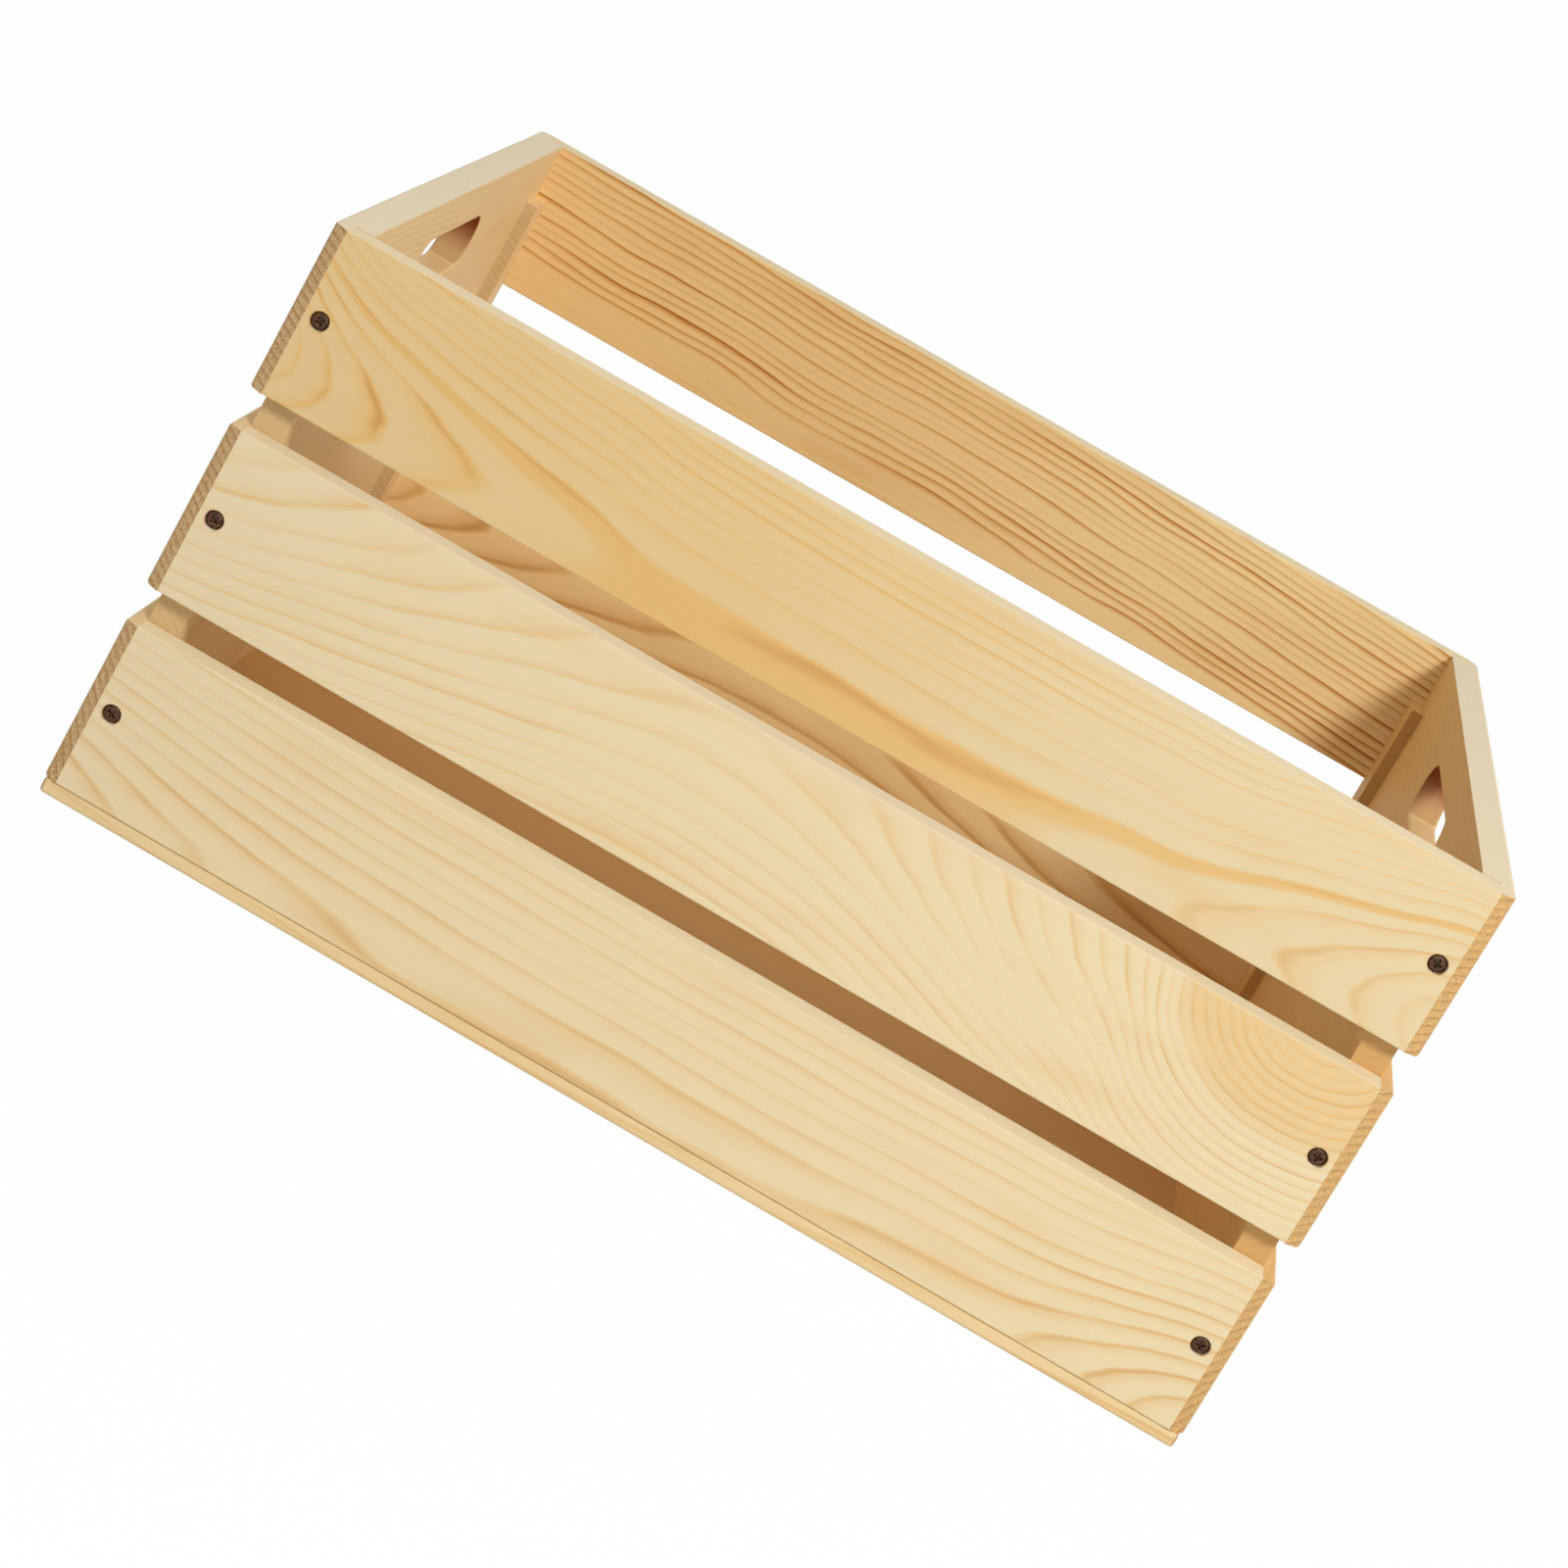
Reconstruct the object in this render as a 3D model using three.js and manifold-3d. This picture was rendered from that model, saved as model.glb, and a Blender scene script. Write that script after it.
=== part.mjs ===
// A slatted pine storage crate: two solid end panels with hand holes, three slats along each
// long side, a thin floor board, and the wood screws that hold the boards together.
// Millimetres. X runs along the crate, Y from front to back, Z up.
// The origin is under the middle of the floor board.

import * as THREE from 'three';
import { mergeVertices } from 'three/addons/utils/BufferGeometryUtils.js';
import Module from 'manifold-3d';

// Slats, from the lowest row up
const slatRows = ['bottom', 'middle', 'top'];
const slatHeight = 65;
const slatThickness = 12;
const slatGap = 15;

// End panels. A lip along their front and back edges covers the ends of the slats.
// It breaks off level with the gaps, where a groove as deep as the lip runs across the outer face.
// Inside each corner a strip thickens the panel for the screws of the slats. It ends below the rim.
const crateLength = 460;
const crateDepth = 350;
const endPanelThickness = 12.5;
const lipThickness = 5.5;
const lipBevelDepth = 3; // across the end of the lip
const stripThickness = 5;
const stripWidth = 18;
const stripDrop = 25; // from the rim down to the top of the strip

// Floor board
const floorThickness = 6;
const floorSetback = 1; // inside the outer faces of the slats and end panels

// Hand hole in each end panel
const handHoleLength = 99;
const handHoleHeight = 23;
const handHoleDrop = 18.5; // below the top edge of the panel

// Wood screws
const headRadius = 3.25;
const headHeight = 2.5;
const driveRadius = 1.5;
const driveDepth = 1.5;
const shankRadius = 1.75;
const pointLength = 4;
const screwClearance = 0.3; // all round a screw in its hole
const pilotSpare = 1; // below the point of a screw
const slatScrewLength = 25; // under the head
const slatHeadRecess = 0.75; // from the slat's face down to the head
const floorScrewLength = 22;
const floorHeadRecess = 0.5;
const endScrewInset = 52; // from the inner faces of the slats

// Facets of the round shapes
const screwFacets = 10;
const holeFacets = 16;
const handHoleFacets = 12; // in each half-round end

// Places that follow from the sizes above
const crateHeight = floorThickness + slatRows.length * slatHeight + (slatRows.length - 1) * slatGap;
const slatLength = crateLength - 2 * lipThickness;
const endPanelHeight = crateHeight - floorThickness;
const lipStart = endPanelThickness - lipThickness; // from the inner face of a panel
const edgeMiddle = (lipStart - stripThickness) / 2; // of the panel edge that the slats are screwed to
const endPanelInnerX = crateLength / 2 - endPanelThickness;
const slatScrewX = endPanelInnerX + edgeMiddle;
const floorScrewX = endPanelInnerX + endPanelThickness / 2;
const insideHalfDepth = crateDepth / 2 - slatThickness;
const slatSeatDepth = slatHeadRecess + headHeight; // from the slat's face to the seat of the head
const floorSeatDepth = floorHeadRecess + headHeight;
const slatPilotDepth = slatSeatDepth + slatScrewLength - slatThickness + pilotSpare;
const floorPilotDepth = floorSeatDepth + floorScrewLength - floorThickness + pilotSpare;
const shankHoleRadius = shankRadius + screwClearance;
const headHoleRadius = headRadius + screwClearance;
const slatMiddleY = crateDepth / 2 - slatThickness / 2;
const endScrewY = insideHalfDepth - endScrewInset;

function slatBase(row) {
  return floorThickness + row * (slatHeight + slatGap);
}

const pine = new THREE.MeshStandardMaterial({ color: 0xe6cb98, roughness: 0.7, metalness: 0 });
const panelPine = new THREE.MeshStandardMaterial({ color: 0xdfc193, roughness: 0.72, metalness: 0 });
const floorPine = new THREE.MeshStandardMaterial({ color: 0xd9b983, roughness: 0.75, metalness: 0 });
const blackSteel = new THREE.MeshStandardMaterial({ color: 0x2e2620, roughness: 0.45, metalness: 0.8 });

// Booleans: closed meshes become solids, are cut, and come back as geometry
const wasm = await Module();
wasm.setup();

function toSolid(geometry) {
  const bare = geometry.clone();
  bare.deleteAttribute('normal');
  bare.deleteAttribute('uv');
  const merged = mergeVertices(bare);
  const vertProperties = new Float32Array(merged.attributes.position.array);
  const triVerts = new Uint32Array(merged.index.array);
  return new wasm.Manifold(new wasm.Mesh({ numProp: 3, vertProperties, triVerts }));
}

function toGeometry(solid) {
  const mesh = solid.getMesh();
  const geometry = new THREE.BufferGeometry();
  geometry.setAttribute('position', new THREE.BufferAttribute(mesh.vertProperties, 3));
  geometry.setIndex(new THREE.BufferAttribute(mesh.triVerts, 1));
  geometry.computeVertexNormals();
  return geometry;
}

function cut(geometry, tools) {
  let solid = toSolid(geometry);
  for (const tool of tools) {
    solid = solid.subtract(toSolid(tool));
  }
  return toGeometry(solid);
}

// A drill is a round tool whose axis starts at a mouth and runs along a direction.
// It starts one radius before the mouth, so that it always breaks the surface.
function drill(radius, depth, mouth, direction) {
  const length = depth + radius;
  const tool = new THREE.CylinderGeometry(radius, radius, length, holeFacets);
  const up = new THREE.Vector3(0, 1, 0);
  tool.applyQuaternion(new THREE.Quaternion().setFromUnitVectors(up, direction));
  const middle = mouth.clone().addScaledVector(direction, depth - length / 2);
  tool.translate(middle.x, middle.y, middle.z);
  return tool;
}

const alongX = new THREE.Vector3(1, 0, 0);
const alongY = new THREE.Vector3(0, 1, 0);
const againstY = new THREE.Vector3(0, -1, 0);
const alongZ = new THREE.Vector3(0, 0, 1);

// A slat lies with its outer face on Y = 0 and its lower edge on Z = 0.
// The bottom row takes a screw from below as well.
function makeSlat(takesFloorScrew) {
  const board = new THREE.BoxGeometry(slatLength, slatThickness, slatHeight);
  board.translate(0, slatThickness / 2, slatHeight / 2);
  const tools = [];
  for (const side of [-1, 1]) {
    const mouth = new THREE.Vector3(side * slatScrewX, 0, slatHeight / 2);
    tools.push(drill(headHoleRadius, slatSeatDepth, mouth, alongY));
    tools.push(drill(shankHoleRadius, slatThickness + shankHoleRadius, mouth, alongY));
  }
  if (takesFloorScrew) {
    const below = new THREE.Vector3(0, slatThickness / 2, 0);
    tools.push(drill(shankHoleRadius, floorPilotDepth, below, alongZ));
  }
  return cut(board, tools);
}

// The tool for a hand hole is an oval bar along X through the middle of a panel.
function handHoleTool() {
  const endRadius = handHoleHeight / 2;
  const endCentre = handHoleLength / 2 - endRadius;
  const oval = new THREE.Shape();
  oval.absarc(endCentre, 0, endRadius, -Math.PI / 2, Math.PI / 2, false);
  oval.absarc(-endCentre, 0, endRadius, Math.PI / 2, (3 * Math.PI) / 2, false);
  const bar = new THREE.ExtrudeGeometry(oval, {
    depth: 3 * endPanelThickness,
    bevelEnabled: false,
    curveSegments: handHoleFacets,
  });
  bar.translate(0, 0, -endPanelThickness);
  bar.applyMatrix4(new THREE.Matrix4().makeBasis(alongY, alongZ, alongX));
  bar.translate(0, 0, endPanelHeight - handHoleDrop - endRadius);
  return bar;
}

// An end panel lies with its inner face on X = 0, its outer face towards +X and its lower edge on Z = 0.
function makeEndPanel() {
  const half = crateDepth / 2;
  const stripEnd = insideHalfDepth - stripWidth;
  const plan = new THREE.Shape();
  plan.moveTo(0, -stripEnd);
  plan.lineTo(-stripThickness, -stripEnd);
  plan.lineTo(-stripThickness, -insideHalfDepth);
  plan.lineTo(lipStart, -insideHalfDepth);
  plan.lineTo(lipStart, -half);
  plan.lineTo(endPanelThickness, -half + lipBevelDepth);
  plan.lineTo(endPanelThickness, half - lipBevelDepth);
  plan.lineTo(lipStart, half);
  plan.lineTo(lipStart, insideHalfDepth);
  plan.lineTo(-stripThickness, insideHalfDepth);
  plan.lineTo(-stripThickness, stripEnd);
  plan.lineTo(0, stripEnd);
  const board = new THREE.ExtrudeGeometry(plan, { depth: endPanelHeight, bevelEnabled: false });
  const aboveStrips = new THREE.BoxGeometry(2 * stripThickness, 2 * crateDepth, 2 * stripDrop);
  aboveStrips.translate(-stripThickness, 0, endPanelHeight);
  const tools = [handHoleTool(), aboveStrips];
  for (let row = 1; row < slatRows.length; row += 1) {
    const groove = new THREE.BoxGeometry(2 * lipThickness, 2 * crateDepth, slatGap);
    groove.translate(endPanelThickness, 0, slatBase(row) - slatGap / 2 - floorThickness);
    tools.push(groove);
  }
  for (let row = 0; row < slatRows.length; row += 1) {
    const level = slatBase(row) + slatHeight / 2 - floorThickness;
    const front = new THREE.Vector3(edgeMiddle, -insideHalfDepth, level);
    const back = new THREE.Vector3(edgeMiddle, insideHalfDepth, level);
    tools.push(drill(shankHoleRadius, slatPilotDepth, front, alongY));
    tools.push(drill(shankHoleRadius, slatPilotDepth, back, againstY));
  }
  for (const y of [-endScrewY, 0, endScrewY]) {
    const below = new THREE.Vector3(endPanelThickness / 2, y, 0);
    tools.push(drill(shankHoleRadius, floorPilotDepth, below, alongZ));
  }
  return cut(board, tools);
}

// Every floor screw: its name and its place under the crate
function floorScrewPlaces() {
  const places = [];
  for (const [endName, side] of [['left', -1], ['right', 1]]) {
    for (const [spot, y] of [['front', -endScrewY], ['middle', 0], ['back', endScrewY]]) {
      places.push({ name: `floor_screw_${endName}_end_${spot}`, x: side * floorScrewX, y });
    }
  }
  for (const [slatName, y] of [['front', -slatMiddleY], ['back', slatMiddleY]]) {
    places.push({ name: `floor_screw_${slatName}_slat`, x: 0, y });
  }
  return places;
}

function makeFloor() {
  const length = crateLength - 2 * floorSetback;
  const board = new THREE.BoxGeometry(length, crateDepth - 2 * floorSetback, floorThickness);
  board.translate(0, 0, floorThickness / 2);
  const tools = [];
  for (const { x, y } of floorScrewPlaces()) {
    const mouth = new THREE.Vector3(x, y, 0);
    tools.push(drill(headHoleRadius, floorSeatDepth, mouth, alongZ));
    tools.push(drill(shankHoleRadius, floorThickness + shankHoleRadius, mouth, alongZ));
  }
  return cut(board, tools);
}

// A screw stands on its point along +Y, with the underside of its head on Y = 0.
function makeScrew(length) {
  const profile = [
    new THREE.Vector2(0, length),
    new THREE.Vector2(shankRadius, length - pointLength),
    new THREE.Vector2(shankRadius, 0),
    new THREE.Vector2(headRadius, 0),
    new THREE.Vector2(headRadius, -headHeight),
    new THREE.Vector2(driveRadius, -headHeight),
    new THREE.Vector2(0, driveDepth - headHeight),
  ];
  return new THREE.LatheGeometry(profile.reverse(), screwFacets);
}

function addMesh(parent, name, geometry, material) {
  const mesh = new THREE.Mesh(geometry, material);
  mesh.name = name;
  parent.add(mesh);
  return mesh;
}

const crate = new THREE.Group();

addMesh(crate, 'floor_board', makeFloor(), floorPine);

// The left panel is the right one turned half round
for (const [endName, side, turn] of [['left', -1, Math.PI], ['right', 1, 0]]) {
  const panel = addMesh(crate, `end_panel_${endName}`, makeEndPanel(), panelPine);
  panel.rotation.z = turn;
  panel.position.set(side * endPanelInnerX, 0, floorThickness);
}

// The front and the back are the same set of slats and screws, turned half round for the back
for (const [sideName, turn] of [['front', 0], ['back', Math.PI]]) {
  const longSide = new THREE.Group();
  longSide.rotation.z = turn;
  slatRows.forEach((rowName, row) => {
    const slat = addMesh(longSide, `${sideName}_slat_${rowName}`, makeSlat(row === 0), pine);
    slat.position.set(0, -crateDepth / 2, slatBase(row));
    for (const side of [-1, 1]) {
      const onLeft = side * Math.cos(turn) < 0;
      const screwName = `slat_screw_${sideName}_${rowName}_${onLeft ? 'left' : 'right'}`;
      const screw = addMesh(longSide, screwName, makeScrew(slatScrewLength), blackSteel);
      const level = slatBase(row) + slatHeight / 2;
      screw.position.set(side * slatScrewX, slatSeatDepth - crateDepth / 2, level);
    }
  });
  crate.add(longSide);
}

for (const { name, x, y } of floorScrewPlaces()) {
  const screw = addMesh(crate, name, makeScrew(floorScrewLength), blackSteel);
  screw.rotation.x = Math.PI / 2;
  screw.position.set(x, y, floorSeatDepth);
}

export default crate;
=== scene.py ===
# %% [markdown]
# A slatted pine crate
#
# The crate is nine pine boards and the screws that hold them: two end panels with hand holes, three
# slats along each long side, and a thin floor board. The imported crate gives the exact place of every
# board. This lesson models each board again with softened edges and drilled screw holes, and gives
# each one its own pine, with the growth rings that its face shows.

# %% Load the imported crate
import math

import bmesh
import bpy
from mathutils import Euler, Matrix, Vector


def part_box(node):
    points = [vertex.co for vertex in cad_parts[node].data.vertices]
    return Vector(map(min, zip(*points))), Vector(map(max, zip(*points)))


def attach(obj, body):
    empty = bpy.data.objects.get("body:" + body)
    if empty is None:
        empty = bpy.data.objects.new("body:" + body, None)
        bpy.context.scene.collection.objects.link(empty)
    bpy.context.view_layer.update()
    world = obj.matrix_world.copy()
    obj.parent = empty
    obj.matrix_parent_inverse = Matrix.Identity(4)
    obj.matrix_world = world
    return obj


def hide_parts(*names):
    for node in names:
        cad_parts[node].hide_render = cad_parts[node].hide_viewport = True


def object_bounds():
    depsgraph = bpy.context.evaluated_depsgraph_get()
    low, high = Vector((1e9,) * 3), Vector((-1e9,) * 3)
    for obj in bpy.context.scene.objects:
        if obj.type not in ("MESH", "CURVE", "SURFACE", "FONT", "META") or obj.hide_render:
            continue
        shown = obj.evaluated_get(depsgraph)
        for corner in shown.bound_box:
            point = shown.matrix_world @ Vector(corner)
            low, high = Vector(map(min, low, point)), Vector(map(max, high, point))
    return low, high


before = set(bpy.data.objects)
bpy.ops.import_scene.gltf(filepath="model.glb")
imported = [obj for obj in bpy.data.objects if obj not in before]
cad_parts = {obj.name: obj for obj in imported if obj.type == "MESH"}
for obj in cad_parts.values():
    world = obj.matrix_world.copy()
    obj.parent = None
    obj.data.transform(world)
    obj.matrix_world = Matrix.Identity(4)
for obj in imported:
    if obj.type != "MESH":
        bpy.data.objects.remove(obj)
packed_low, packed_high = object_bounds()
MM = 0.001
print("packed crate in mm:", [round(side / MM, 1) for side in packed_high - packed_low])

# %% [markdown]
# Small helpers
#
# Modelling by hand means adding a primitive, going into edit mode, selecting by eye and moving. In a
# script the eye is replaced by a test on each corner's place. Everything is deselected first, because
# an operator acts on all that is selected.

# %% Helpers for modelling
NEAR = 0.01 * MM
SHARP = math.radians(24)
SMOOTH = math.radians(40)
EASE_STEPS = 3


def add_block(name, low, high):
    """A box between two corners, with its place in its mesh."""
    bpy.ops.object.select_all(action="DESELECT")
    bpy.ops.mesh.primitive_cube_add(size=1, location=(low + high) / 2)
    block = bpy.context.object
    block.name = name
    block.scale = high - low
    bpy.ops.object.transform_apply(location=True, rotation=True, scale=True)
    return block


def select_corners(piece, test):
    """In edit mode, select the corners whose place passes the test."""
    bpy.ops.mesh.select_mode(type="VERT")
    bpy.ops.mesh.select_all(action="DESELECT")
    shape = bmesh.from_edit_mesh(piece.data)
    for corner in shape.verts:
        corner.select_set(test(corner.co))
    shape.select_flush_mode()
    bmesh.update_edit_mesh(piece.data)


def select_sharp_edges(piece, test):
    """In edit mode, select the sharp edges whose two corners pass the test."""
    bpy.ops.mesh.select_mode(type="EDGE")
    bpy.ops.mesh.select_all(action="DESELECT")
    shape = bmesh.from_edit_mesh(piece.data)
    for edge in shape.edges:
        sharp = edge.calc_face_angle(0.0) > SHARP
        edge.select_set(sharp and all(test(corner.co) for corner in edge.verts))
    bmesh.update_edit_mesh(piece.data)


def make_active(piece):
    bpy.ops.object.select_all(action="DESELECT")
    piece.select_set(True)
    bpy.context.view_layer.objects.active = piece


def apply_modifiers(piece):
    make_active(piece)
    for modifier in list(piece.modifiers):
        bpy.ops.object.modifier_apply(modifier=modifier.name)


def ease_edges(piece, width):
    """Round every edge that is sharper than the bevels, as sandpaper does."""
    rounding = piece.modifiers.new("eased edges", "BEVEL")
    rounding.width = width
    rounding.segments = EASE_STEPS
    rounding.limit_method = "ANGLE"
    rounding.angle_limit = SHARP
    apply_modifiers(piece)


def cut_away(piece, tool):
    """Take the tool's shape out of the piece, and throw the tool away."""
    cut = piece.modifiers.new("cut", "BOOLEAN")
    cut.operation = "DIFFERENCE"
    cut.solver = "EXACT"
    cut.object = tool
    apply_modifiers(piece)
    bpy.data.objects.remove(tool)


def smooth(piece):
    """Smooth shading that keeps the large faces flat."""
    make_active(piece)
    bpy.ops.object.shade_smooth_by_angle(angle=SMOOTH)
    flat = piece.modifiers.new("flat faces", "WEIGHTED_NORMAL")
    flat.keep_sharp = True
    apply_modifiers(piece)


print("edges count as sharp from", round(math.degrees(SHARP)), "degrees")

# %% [markdown]
# Drilled holes
#
# Each screw sits in a stepped hole: a wide mouth that takes the head, then a narrow way for the shank.
# The drill bit that makes such a hole is a cylinder whose end face is inset and pushed on. Its
# other end flares out a little, which eases the rim.

# %% The stepped drill
HEAD_HOLE = 3.5 * MM
SHANK_HOLE = 2.05 * MM
MOUTH_EASE = 0.35 * MM
BIT_SIDES = 40


def stepped_bit(mouth, direction, head_depth, full_depth):
    """A drill bit that enters at the mouth: flared, wide down to the head's seat, narrow below it."""
    wide_depth = head_depth - MOUTH_EASE
    bpy.ops.object.select_all(action="DESELECT")
    bpy.ops.mesh.primitive_cylinder_add(vertices=BIT_SIDES, radius=HEAD_HOLE, depth=wide_depth)
    bit = bpy.context.object
    bpy.ops.object.mode_set(mode="EDIT")
    select_corners(bit, lambda place: place.z < 0)
    bpy.ops.mesh.inset(thickness=HEAD_HOLE - SHANK_HOLE)
    bpy.ops.mesh.extrude_region_move(TRANSFORM_OT_translate={"value": (0, 0, head_depth - full_depth)})
    select_corners(bit, lambda place: place.z > 0)
    bpy.ops.mesh.extrude_region_move(TRANSFORM_OT_translate={"value": (0, 0, 2 * MOUTH_EASE)})
    flare = (HEAD_HOLE + 2 * MOUTH_EASE) / HEAD_HOLE
    bpy.ops.transform.resize(value=(flare, flare, 1))
    bpy.ops.object.mode_set(mode="OBJECT")
    bit.rotation_euler = direction.to_track_quat("-Z", "Y").to_euler()
    bit.location = mouth + direction * (MOUTH_EASE + wide_depth / 2)
    bpy.ops.object.transform_apply(location=True, rotation=True, scale=True)
    return bit


print("screw hole in mm:", round(2 * HEAD_HOLE / MM, 1))

# %% [markdown]
# The slats
#
# Six boards, all alike. Each starts as a box that is a little too long. Its edges are eased, and then both
# ends are cut off square, so that they butt tight against the end panels. The two screw holes are drilled
# last, so that the easing leaves their rims alone.

# %% Model the slats
SLAT_EASE = 0.7 * MM
SLAT_SEAT_DEPTH = 3.25 * MM
THROUGH = 1.0 * MM

ROWS = ("bottom", "middle", "top")
SIDES = {"front": Vector((0, 1, 0)), "back": Vector((0, -1, 0))}
ENDS = ("left", "right")
boards = {}


def screw_centre(node):
    low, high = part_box(node)
    return (low + high) / 2


def model_slat(side, row):
    node = f"{side}_slat_{row}"
    low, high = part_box(node)
    inward = SIDES[side]
    outer_y = low.y if inward.y > 0 else high.y
    spare = Vector((THROUGH, 0, 0))
    slat = add_block(f"{node}_board", low - spare, high + spare)
    ease_edges(slat, SLAT_EASE)
    bpy.ops.object.mode_set(mode="EDIT")
    for end_x, outward in ((low.x, -1), (high.x, 1)):
        bpy.ops.mesh.select_all(action="SELECT")
        bpy.ops.mesh.bisect(
            plane_co=(end_x, 0, 0), plane_no=(outward, 0, 0), use_fill=True, clear_outer=True
        )
    bpy.ops.object.mode_set(mode="OBJECT")
    for end in ENDS:
        mouth = screw_centre(f"slat_screw_{side}_{row}_{end}")
        mouth.y = outer_y
        cut_away(slat, stepped_bit(mouth, inward, SLAT_SEAT_DEPTH, high.y - low.y + THROUGH))
    smooth(slat)
    boards[node] = slat


for side_name in SIDES:
    for row_name in ROWS:
        model_slat(side_name, row_name)
print("slats:", len(boards), "with", len(boards["front_slat_top"].data.polygons), "faces each")

# %% [markdown]
# The end panels
#
# Each end is one solid board. A lip along its front and back edges covers the ends of the slats, and the
# lip's own end is bevelled: the box is sliced where the lip starts, and its outer corners are pushed in.
# Blocks then cut the seats for the slats, two grooves level with the gaps between them, and the inside,
# where a strip stays in each corner for the screws. The hand hole is a slot with round ends: a cylinder
# whose two halves are pulled apart makes the tool for it. Only the edges of the outer face and the rim of
# the hand hole are rounded: the slats butt tight against the rest.

# %% Model the end panels
LIP_THICKNESS = 5.5 * MM
LIP_BEVEL_DEPTH = 3.0 * MM
STRIP_THICKNESS = 5.0 * MM
STRIP_WIDTH = 18.0 * MM
STRIP_DROP = 25.0 * MM
HAND_HOLE_LENGTH = 99 * MM
HAND_HOLE_HEIGHT = 23 * MM
HAND_HOLE_DROP = 18.5 * MM
HAND_HOLE_SIDES = 64
PANEL_EASE = 1.6 * MM
PANEL_EASE_STEPS = 4
HOLE_EASE = 1.0 * MM


def hand_hole_tool(low, high):
    radius = HAND_HOLE_HEIGHT / 2
    pull = HAND_HOLE_LENGTH / 2 - radius
    middle = (low + high) / 2
    middle.z = high.z - HAND_HOLE_DROP - radius
    bpy.ops.object.select_all(action="DESELECT")
    bpy.ops.mesh.primitive_cylinder_add(
        vertices=HAND_HOLE_SIDES,
        radius=radius,
        depth=2 * (high.x - low.x),
        rotation=(0, math.radians(90), 0),
    )
    tool = bpy.context.object
    bpy.ops.object.transform_apply(location=True, rotation=True, scale=True)
    bpy.ops.object.mode_set(mode="EDIT")
    for direction in (-1, 1):
        select_corners(tool, lambda place: place.y * direction > NEAR)
        bpy.ops.transform.translate(value=(0, direction * pull, 0))
    bpy.ops.object.mode_set(mode="OBJECT")
    tool.location = middle
    bpy.ops.object.transform_apply(location=True, rotation=True, scale=True)
    return tool


def cut_seat(panel, slat, lip_x, inner_x):
    """Cut the seat of a slat's end out of the panel's edge, over the panel's whole height."""
    slat_low, slat_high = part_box(slat)
    panel_low, panel_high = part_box("end_panel_left")
    beyond = THROUGH if slat_low.y > 0 else -THROUGH
    low = Vector((min(lip_x, inner_x - THROUGH), slat_low.y + min(beyond, 0), panel_low.z - THROUGH))
    high = Vector((max(lip_x, inner_x + THROUGH), slat_high.y + max(beyond, 0), panel_high.z + THROUGH))
    cut_away(panel, add_block("seat", low, high))


def cut_groove(panel, below, above, lip_x, outer_x):
    """Cut the groove across the panel's outer face, between the levels of two slats."""
    outside = outer_x + (outer_x - lip_x)
    low = Vector((min(lip_x, outside), packed_low.y - THROUGH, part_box(below)[1].z))
    high = Vector((max(lip_x, outside), packed_high.y + THROUGH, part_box(above)[0].z))
    cut_away(panel, add_block("groove", low, high))


def leave_strips(panel, outer_x, inner_x):
    """Thin the panel from inside, leave a strip in each corner, and say where the thinned face is."""
    face_x = inner_x + math.copysign(STRIP_THICKNESS, outer_x)
    near_x, far_x = sorted((face_x, inner_x - math.copysign(THROUGH, outer_x)))
    strip_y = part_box("back_slat_top")[0].y - STRIP_WIDTH
    rim = packed_high.z
    middle_low = Vector((near_x, -strip_y, packed_low.z - THROUGH))
    cut_away(panel, add_block("between strips", middle_low, Vector((far_x, strip_y, rim + THROUGH))))
    top_low = Vector((near_x, packed_low.y, rim - STRIP_DROP))
    cut_away(panel, add_block("above strips", top_low, Vector((far_x, packed_high.y, rim + THROUGH))))
    return face_x


def model_end_panel(end):
    node = f"end_panel_{end}"
    low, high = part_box(node)
    outer_x, inner_x = (low.x, high.x) if end == "left" else (high.x, low.x)
    lip_x = outer_x + LIP_THICKNESS if end == "left" else outer_x - LIP_THICKNESS
    panel = add_block(f"{node}_board", low, high)
    bpy.ops.object.mode_set(mode="EDIT")
    bpy.ops.mesh.select_all(action="SELECT")
    bpy.ops.mesh.bisect(plane_co=(lip_x, 0, 0), plane_no=(1, 0, 0))
    for edge_y, push in ((low.y, LIP_BEVEL_DEPTH), (high.y, -LIP_BEVEL_DEPTH)):
        select_corners(panel, lambda place: abs(place.x - outer_x) < NEAR and abs(place.y - edge_y) < NEAR)
        bpy.ops.transform.translate(value=(0, push, 0))
    bpy.ops.object.mode_set(mode="OBJECT")
    for side in SIDES:
        cut_seat(panel, f"{side}_slat_top", lip_x, inner_x)
    for below, above in zip(ROWS, ROWS[1:]):
        cut_groove(panel, f"front_slat_{below}", f"front_slat_{above}", lip_x, outer_x)
    rim_x = leave_strips(panel, outer_x, inner_x)
    cut_away(panel, hand_hole_tool(low, high))
    reach = HAND_HOLE_LENGTH / 2 + NEAR
    hole_top = high.z - HAND_HOLE_DROP
    bpy.ops.object.mode_set(mode="EDIT")
    select_sharp_edges(panel, lambda place: abs(place.x - outer_x) < NEAR)
    bpy.ops.mesh.bevel(offset=PANEL_EASE, segments=PANEL_EASE_STEPS)
    select_sharp_edges(
        panel,
        lambda place: abs(place.x - rim_x) < NEAR and abs(place.y) < reach and place.z < hole_top + NEAR,
    )
    bpy.ops.mesh.bevel(offset=HOLE_EASE, segments=EASE_STEPS)
    bpy.ops.object.mode_set(mode="OBJECT")
    smooth(panel)
    boards[node] = panel


for end_name in ENDS:
    model_end_panel(end_name)
print("end panel faces:", len(boards["end_panel_left"].data.polygons))

# %% [markdown]
# The floor board
#
# A thin board under the panels and the bottom slats. Its edges are rounded more than the slats' edges.

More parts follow.
